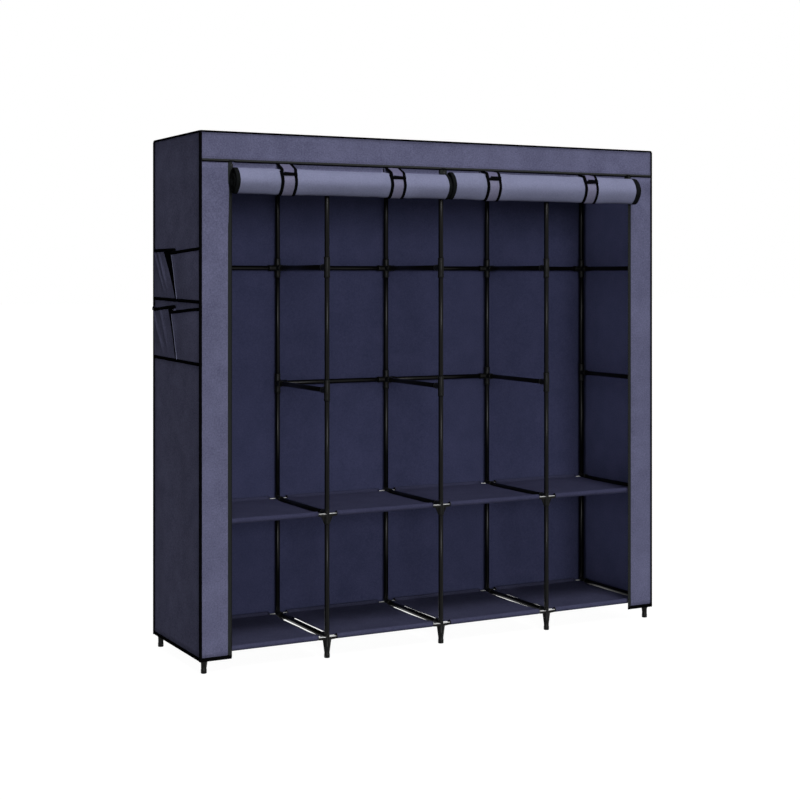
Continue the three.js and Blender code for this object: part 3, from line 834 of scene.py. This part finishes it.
# Straps: a loop that carries the roll and a tab that closes over its end, both with bound edges
strap = {"cloth": 1.4 * mm, "inset": 6 * mm, "binding": 11 * mm, "bindingThickness": 3.2 * mm,
         "endRise": 1.0 * mm, "endPoints": 7, "loopTurns": (0.345, 0.93), "loopLift": 1.1 * mm,
         "loopBehind": 2.6 * mm, "anchorRise": 15 * mm, "tabLift": 3.0 * mm, "tabEnd": 0.427,
         "sewnBelow": 3.1 * mm, "skew": 6 * mm}


def boundStrap(name, path, outNormal, body, node, finish, endPath=None):
    bindX = (strapWidth + 1 * mm - strap["binding"]) / 2
    clothWidth, thickness = strapWidth - strap["inset"], strap["bindingThickness"]
    cloth = addPiece(name, ribbon(path, clothWidth, strap["cloth"], outNormal), [finish], body)
    edges = []
    for way in (-1, 1):
        edge = [(x + way * bindX, y, z) for x, y, z in path]
        edges.append(ribbon(edge, strap["binding"], thickness, outNormal))
    if endPath:
        edges.append(ribbon(endPath, strapWidth, thickness + strap["endRise"], outNormal))
    trim = addPiece(f"{name}_binding", joined(edges), [binding], body)
    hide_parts(node)


for number, strapMid in enumerate(strapX, 1):
    side = "left" if number < 3 else "right"
    centreY, centreZ, out, up = rollFrame(side)
    centreY, out = centreY + roll["nip"] / 2, out - roll["nip"] / 2
    start, end = strap["loopTurns"]
    ringPath = [ovalPoint(side, t, strap["loopLift"], roll["nip"]) for t in spread(start, end, 40)]
    behind = frontY + strap["loopBehind"]
    ringPath += [(behind, z) for z in spread(centreZ, bandZ + strap["anchorRise"], 5)]
    loopPath = [(strapMid, y, z) for y, z in ringPath]

    def loopOut(i, path=loopPath, y=centreY, z=centreZ):
        return (0, path[i][1] - y, path[i][2] - z) if i <= 40 else (0, 1, 0)
    boundStrap(f"strap_{number}_loop", loopPath, loopOut, "root", f"strap_loop_{number}", loopCloth)

    sewnY, sewnZ = frontY - 1.2 * mm, bandZ - strap["sewnBelow"]  # low, so that a lifted tab clears the band
    lift = strap["tabLift"]
    across, rise = (sewnY - centreY) / (out + lift), (sewnZ - centreZ) / (up + lift)
    touch = (math.atan2(rise, across) + math.acos(min(1, 1 / math.hypot(across, rise)))) / (2 * math.pi)
    overPath = [ovalPoint(side, t, lift, roll["nip"]) for t in spread(touch, strap["tabEnd"], 16)]
    touchY, touchZ = overPath[0]
    straight = [(sewnY + (touchY - sewnY) * t, sewnZ + (touchZ - sewnZ) * t) for t in spread(0, 1, 5)[:-1]]
    flatPath = straight + overPath
    count = len(flatPath) - 1
    tabPath = [(strapMid + strap["skew"] * (1 - smooth(i / count * 1.1)), y, z)
               for i, (y, z) in enumerate(flatPath)]

    def tabOut(i, path=tabPath):  # square to the path, away from the roll
        ahead, last = path[min(i + 1, len(path) - 1)], path[max(i - 1, 0)]
        return (0, ahead[2] - last[2], last[1] - ahead[1])
    boundStrap(f"strap_{number}_tab", tabPath, tabOut, f"tab_{number}", f"strap_tab_{number}",
               strapCloth, tabPath[-strap["endPoints"]:])
print("straps closed")


# Zip sliders and their pulls
slider = {"width": 9 * mm, "body": 3 * mm, "wing": 1.2 * mm, "bridge": 2 * mm, "bridgeThickness": 1.1 * mm,
          "bridgeRise": 2.1 * mm, "bridgeSunk": 0.3 * mm, "bridgeSpan": 3.4 * mm, "narrowing": 0.22}
pull = {"waist": 0.18, "eyeFromTop": 4.8 * mm, "eyeTall": 3.4 * mm, "eyeWide": 1.7 * mm}


def sliderShell(x, low, high, y):  # two shield-shaped wings joined at the nose, and a bridge
    midZ, tall, half = (low + high) / 2, (high - low) / 2, slider["width"] / 2
    outline = []
    for angle in ringAngles(24):
        across, rise = half * powered(math.cos(angle), 0.6), tall * powered(math.sin(angle), 0.7)
        outline.append((across * (1 + slider["narrowing"] * (rise / tall - 1)), rise))
    shells = []
    for wingY in (y - slider["wing"] / 2, y - slider["body"] + slider["wing"] / 2):
        shells.append(plate(outline, slider["wing"], 0.3, (x, wingY, midZ)))
    core = [(across * 0.35, rise * 0.6 + 1.5 * mm) for across, rise in outline]
    shells.append(plate(core, slider["body"] * 0.9, 0.1, (x, y - slider["body"] / 2, midZ)))
    arch, face, rise = [], y - slider["body"] + slider["bridgeSunk"], slider["bridgeRise"]
    for t in spread(0, 1, 12):
        angle = math.pi * t
        arch.append((x, face - rise * math.sin(angle) ** 0.6, midZ - slider["bridgeSpan"] * math.cos(angle)))
    shells.append(ribbon(arch, slider["bridge"], slider["bridgeThickness"], front))
    return joined(shells)


def pullShell(low, high):  # a drop-shaped plate with an eye at the top
    x, y, midZ = (low.x + high.x) / 2, (low.y + high.y) / 2, (high.z + low.z) / 2
    wide, thick, tall = (high.x - low.x) / 2, (high.y - low.y) / 2, (high.z - low.z) / 2
    outer, inner = [], []
    for angle in ringAngles(28):
        taper = 1 - pull["waist"] * (1 + math.sin(angle))
        outer.append((x + wide * taper * powered(math.cos(angle), 0.55), midZ + tall * math.sin(angle)))
        inner.append((x + pull["eyeWide"] * powered(math.cos(angle), 0.7),
                      high.z - pull["eyeFromTop"] + pull["eyeTall"] * math.sin(angle)))
    rings = [[(px, y + depthwise, pz) for px, pz in ring]
             for ring, depthwise in ((outer, -thick), (outer, thick), (inner, thick), (inner, -thick))]
    return skin(rings + [rings[0]], ringClosed=True)


for place in ("left", "middle", "right"):
    low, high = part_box(f"zip_slider_{place}")
    x = (low.x + high.x) / 2
    made = addPiece(f"slider_{place}", sliderShell(x, low.z, high.z, high.y), [sliderEnamel],
                    f"slider_{place}")
    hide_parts(f"zip_slider_{place}")
    made = addPiece(f"pull_tab_{place}", pullShell(*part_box(f"zip_pull_{place}")), [sliderEnamel],
                    f"pull_{place}", sharpDegrees=35)
    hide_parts(f"zip_pull_{place}")
print("zips set")


# Shelves: a cloth with a sewn tunnel round each rail, sagging a little between them
shelf = {
    "cloth": 1.0 * mm, "hem": 8 * mm, "flat": (0.395, 0.5),
    "sideGap": 24.5 * mm, "cornerGap": 13 * mm, "cornerReach": 90 * mm, "tunnelGap": 34 * mm,
    "tube": 8.9 * mm, "seamAt": 15 * mm, "allowance": 8 * mm, "sheet": 1.1 * mm, "tangent": 54,
    "sag": 1 * mm, "wave": 1.6 * mm, "gather": 1.0 * mm, "gatherReach": 0.3,
}
bayWidth, span = columnX[1] - columnX[0], postBack - postFront


def shelfPath():  # (distance from the front rail, height over its axis, in the tunnel) along the cloth
    r, flat, seamAt = shelf["tube"], shelf["sheet"], shelf["seamAt"]
    tunnel = [(seamAt + shelf["allowance"], -flat), (seamAt, -flat)]
    for angle in spread(-shelf["tangent"], shelf["tangent"] - 360, 16):
        tunnel.append((r * math.cos(math.radians(angle)), r * math.sin(math.radians(angle))))
    tunnel.append((seamAt, flat))
    sheet = [(d, flat, False) for d in spread(seamAt + 2 * mm, span - seamAt - 2 * mm, 26)]
    back = [(span - d, h, True) for d, h in reversed(tunnel)]
    return [(d, h, True) for d, h in tunnel] + sheet + back


def shelfHeight(d, h, x, seed):
    if h < 0 or not shelf["seamAt"] <= d <= span - shelf["seamAt"]:
        return h
    share = d / span
    middleSag = shelf["sag"] * math.sin(math.pi * share)
    wave = rough(x * 11, d * 9, seed) * shelf["wave"] * math.sin(math.pi * share)
    gather = rough(x * 60, d * 6, seed + 4) * shelf["gather"]
    gather *= 1 - smooth(min(share, 1 - share) / shelf["gatherReach"])
    return h - middleSag + wave + gather * smooth(min(share, 1 - share) / 0.08)


def halfWide(d):  # half the sheet's width at this distance from the front rail
    inward = smooth(min(d, span - d) / shelf["cornerReach"])
    return bayWidth / 2 - (shelf["cornerGap"] + (shelf["sideGap"] - shelf["cornerGap"]) * inward)


def hungShelf(name, bay, level, seed):
    midX, z = (columnX[bay] + columnX[bay + 1]) / 2, levels[level]
    narrow, seamAt, sheet = bayWidth / 2 - shelf["tunnelGap"], shelf["seamAt"], shelf["sheet"]
    path = shelfPath()
    rows = []
    for across in spread(1, -1, 34):
        row = []
        for d, h, inTunnel in path:
            x = midX + across * (narrow if inTunnel else halfWide(d))
            row.append((x, postFront + d, z + shelfHeight(d, h, x, seed)))
        rows.append(row)
    piece = clothPiece(name, rows, [shelfCloth if level else baseCloth], shelf["cloth"])
    places = [[(x, d) for x in spread(midX - narrow, midX + narrow, 30)] for d in (seamAt, span - seamAt)]
    for side in (-1, 1):
        along = spread(seamAt + 4 * mm, span - seamAt - 4 * mm, 26)
        places.append([(midX + side * (halfWide(d) - shelf["hem"]), d) for d in along])
    lines = [[(x, postFront + d, z + shelfHeight(d, sheet, x, seed)) for x, d in line] for line in places]
    return piece, sewn(name, lines, (0, 0, 1))


for tier, level, rail in (("lower", 0, "lower"), ("upper", 1, "shelf")):
    for bay in range(4):
        piece, thread = hungShelf(f"{tier}_shelf_cloth_{bay + 1}", bay, level, 3 * level + bay * 7)
        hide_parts(f"{tier}_shelf_{bay + 1}")
print("shelves hung")


# Side pockets: two pouches a row, each full at its mouth and flat at the seam below
pocket = {"cloth": 1.0 * mm, "binding": 10 * mm, "bindingThickness": 2.4 * mm, "rows": 20, "seamRise": 7 * mm,
          "belly": 0.15, "crinkle": 1.0 * mm, "fold": 0.022, "bindingOff": 0.3 * mm, "bindingBelow": 3 * mm,
          "lip": (4 * mm, 2.4 * mm), "lipAt": 0.486, "seamAt": 0.51, "threadOff": 0.6 * mm,
          "flatDepth": 0.46, "allowance": 10 * mm}
pocketMouths = {  # front to back: share of the depth, share of the fullness, millimetres that the mouth hangs
    "upper": [(0, 0, 0), (0.15, 0.32, 3), (0.3, 0.64, 7), (0.44, 0.86, 10.5), (0.475, 1, 11.5),
              (0.49, 0.95, 11.5), (0.502, 0.12, 3), (0.52, 0.04, 0), (0.59, 0.26, 0), (0.66, 0.5, 0.5),
              (0.78, 0.64, 1), (0.9, 0.5, 1.5), (1, 0, 0)],
    "lower": [(0, 0, 0), (0.15, 0.3, 3), (0.3, 0.6, 8), (0.44, 0.84, 12), (0.475, 1, 12.5),
              (0.49, 0.95, 12.5), (0.502, 0.12, 0), (0.52, 0.04, -5), (0.59, 0.28, -3), (0.7, 0.55, 1),
              (0.82, 0.7, 5), (0.9, 0.6, 7), (0.95, 0.4, 4), (1, 0, -7)],
}
pocketFolds = {  # where a fold leaves the mouth, how far it drifts forward on its way down, and its height
    "upper": [(0.925, 0.21, 4.0 * mm), (0.83, 0.17, 3.2 * mm)],
    "lower": [(0.945, 0.18, 4.0 * mm), (0.78, 0.12, 2.6 * mm)],
}
paintedShadowStrip = {"from": 0.515, "strips": 8, "upper": 0.2, "lower": 0.12}  # a strip of the rear pouch beside the front pouch's rear edge, finished in black binding: a painted shadow


def pocketPoint(tier, low, high, along, up, seed):
    table = pocketMouths[tier]
    full = between([(place, out) for place, out, hang in table], along)
    hang = between([(place, hang) for place, out, hang in table], along) * mm
    out = (leftX - low.x - 2 * mm) * full * ((1 - pocket["belly"]) * up + pocket["belly"] * up * up)
    for place, drift, rise in pocketFolds[tier]:
        away = (along - place + drift * (1 - up)) / pocket["fold"]
        out += rise * math.exp(-away * away) * smooth(up / 0.5) * smooth((1 - along) / 0.06)
    out += rough(along * 9, up * 3.5, seed) * pocket["crinkle"] * math.sin(math.pi * up) * full
    bottom, mouth = low.z + pocket["seamRise"] * along, high.z - hang
    return leftX - 1.0 * mm - out, frontY + along * (backY - frontY), bottom + up * (mouth - bottom)


def pocketRow(tier, seed):
    low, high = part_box(f"side_pocket_{tier}")
    start, behind = paintedShadowStrip["from"], 30
    ahead = spread(0, 0.44, 26) + [0.455, 0.466, 0.475, 0.482, 0.49, 0.496, 0.502, 0.508]

    def stations(up):  # back to front, with the painted shadow strip narrowing to nothing at the seam below
        edge = start + 0.006 + (paintedShadowStrip[tier] - 0.006) * up
        return (spread(start, edge, paintedShadowStrip["strips"]) + spread(edge, 1, behind)[1:])[::-1] + ahead[::-1]
    levelsUp = spread(0, 1, pocket["rows"])
    rows = [[pocketPoint(tier, low, high, along, up, seed) for along in stations(up)] for up in levelsUp]
    piece = clothPiece(f"pocket_row_{tier}", rows, [coverCloth, shadedInnerCloth, binding],
                       pocket["cloth"])
    across = len(rows[0]) - 1
    # the strip's faces take the black binding: a painted cast shadow of the front pouch
    for face in piece.data.polygons:
        if behind <= face.index % across < behind + paintedShadowStrip["strips"]:
            face.material_index = 2
    left = Vector((-1, 0, 0))
    shells = []
    for up in (0.0, 1.0):
        path = [pocketPoint(tier, low, high, along, up, seed) for along in stations(up)]
        path = [(x - pocket["bindingOff"], y, z - pocket["bindingBelow"] * up) for x, y, z in path]
        shells.append(ribbon(path, pocket["binding"], pocket["bindingThickness"], left))
    trim = addPiece(f"pocket_row_{tier}_binding", joined(shells), [binding])
    # a bead of the fold in the pale door lining: a painted highlight along the front pouch's rear edge
    lip = [pocketPoint(tier, low, high, pocket["lipAt"], up, seed) for up in spread(0.02, 0.98, 20)]
    fold = addPiece(f"pocket_row_{tier}_lip", swept(lip, ovalSection(*pocket["lip"], 8), left), [doorLining])
    line = [pocketPoint(tier, low, high, pocket["seamAt"], up, seed) for up in spread(0, 1, 20)]
    thread = sewn(f"pocket_row_{tier}", [line], left, pocket["threadOff"])
    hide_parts(f"side_pocket_{tier}")


pocketRow("upper", 4)
pocketRow("lower", 12)
print("pockets sewn")


# Studio: white floor and surroundings, broad lights in front, above and behind, two sheets of light inside
studio = {"ambient": 0.08, "floorReach": 60.0, "floorWhite": 0.97, "floorFaint": 0.1,
          "floorPaint": "#3c3c3c", "sheetGap": 5 * mm}
lamps = {  # level on a face turned to it, degrees right of the front, degrees above the floor, degrees across
    "frontLight": (0.6, -10, 6, 24),
    "topLight": (0.47, -10, 62, 20),
    "backLight": (0.75, 128, 24, 40),
}
sheetLights = {  # level, degrees it turns from the back towards the right, degrees that it spreads
    "insideLight": (0.27, 0, 180),
    "sideLight": (0.5, 90, 22),
}
opaqueWhite = (1, 1, 1, 1)


def cleared(owner):
    owner.use_nodes = True
    owner.node_tree.nodes.clear()
    return owner.node_tree


def rayMix(tree, lit, seen):  # one shader lights the object, the other shows in the camera, gloss and glass
    path = addNode(tree, "ShaderNodeLightPath", {})
    share = path.outputs["Is Camera Ray"]
    for ray in ("Is Glossy Ray", "Is Transmission Ray"):
        most = addNode(tree, "ShaderNodeMath", {"operation": "MAXIMUM"}, {0: share, 1: path.outputs[ray]})
        share = most.outputs[0]
    mixed = addNode(tree, "ShaderNodeMixShader", {}, {0: share, 1: lit.outputs[0], 2: seen.outputs[0]})
    return mixed.outputs[0]


world = bpy.data.worlds.new("studioWhite")
scene.world = world
tree = cleared(world)
plain = addNode(tree, "ShaderNodeBackground", {"Strength": studio["ambient"], "Color": opaqueWhite})
white = addNode(tree, "ShaderNodeBackground", {"Strength": 1.0, "Color": opaqueWhite})
addNode(tree, "ShaderNodeOutputWorld", {}, {"Surface": rayMix(tree, plain, white)})


def addLamp(name, kind, energy, settings):
    light = bpy.data.lights.new(name, kind)
    light.energy = energy
    for setting, value in settings.items():
        setattr(light, setting, value)
    return placed(name, light)


for name, (level, right, above, wide) in lamps.items():
    right, above = math.radians(right), math.radians(above)
    towards = Vector((math.sin(right) * math.cos(above), -math.cos(right) * math.cos(above), math.sin(above)))
    lamp = addLamp(name, "SUN", level * math.pi, {"angle": math.radians(wide)})
    lamp.rotation_mode = "QUATERNION"
    lamp.rotation_quaternion = (-towards).to_track_quat("-Z", "Y")

for name, (level, turn, beam) in sheetLights.items():  # just inside the opening and the left side
    gap, middleZ = studio["sheetGap"], (hemZ + topZ) / 2
    wide, tall = (depth if turn else width) - 4 * gap, height - 4 * gap
    lamp = addLamp(name, "AREA", level * math.pi * wide * tall,
                   {"shape": "RECTANGLE", "size": wide, "size_y": tall, "spread": math.radians(beam)})
    lamp.location = (leftX + gap, halfDepth, middleZ) if turn else (middleX, frontY + gap, middleZ)
    lamp.rotation_euler = (math.radians(90), 0, -math.radians(turn))
    lamp.visible_camera = lamp.visible_glossy = False

# Painted studio floor: seen white, with only part of its light taken away by the object's shadow
floorPaint = bpy.data.materials.new("mattWhitePaint")
tree = cleared(floorPaint)
paint = addNode(tree, "ShaderNodeBsdfDiffuse", {"Color": linear(studio["floorPaint"])})
faint = addNode(tree, "ShaderNodeBsdfDiffuse", {"Color": [studio["floorFaint"]] * 3 + [1]})
glow = addNode(tree, "ShaderNodeEmission", {"Strength": studio["floorWhite"], "Color": opaqueWhite})
seen = addNode(tree, "ShaderNodeAddShader", {}, {0: faint.outputs[0], 1: glow.outputs[0]})
addNode(tree, "ShaderNodeOutputMaterial", {}, {"Surface": rayMix(tree, paint, seen)})
reach = studio["floorReach"]
floorMesh = bpy.data.meshes.new("studioFloor")
corners = [(-reach, -reach, 0), (reach, -reach, 0), (reach, reach, 0), (-reach, reach, 0)]
floorMesh.from_pydata(corners, [], [(0, 1, 2, 3)])
floorMesh.materials.append(floorPaint)
floor = placed("studioFloor", floorMesh)

scene.view_settings.view_transform = "Standard"
print("studio lit")
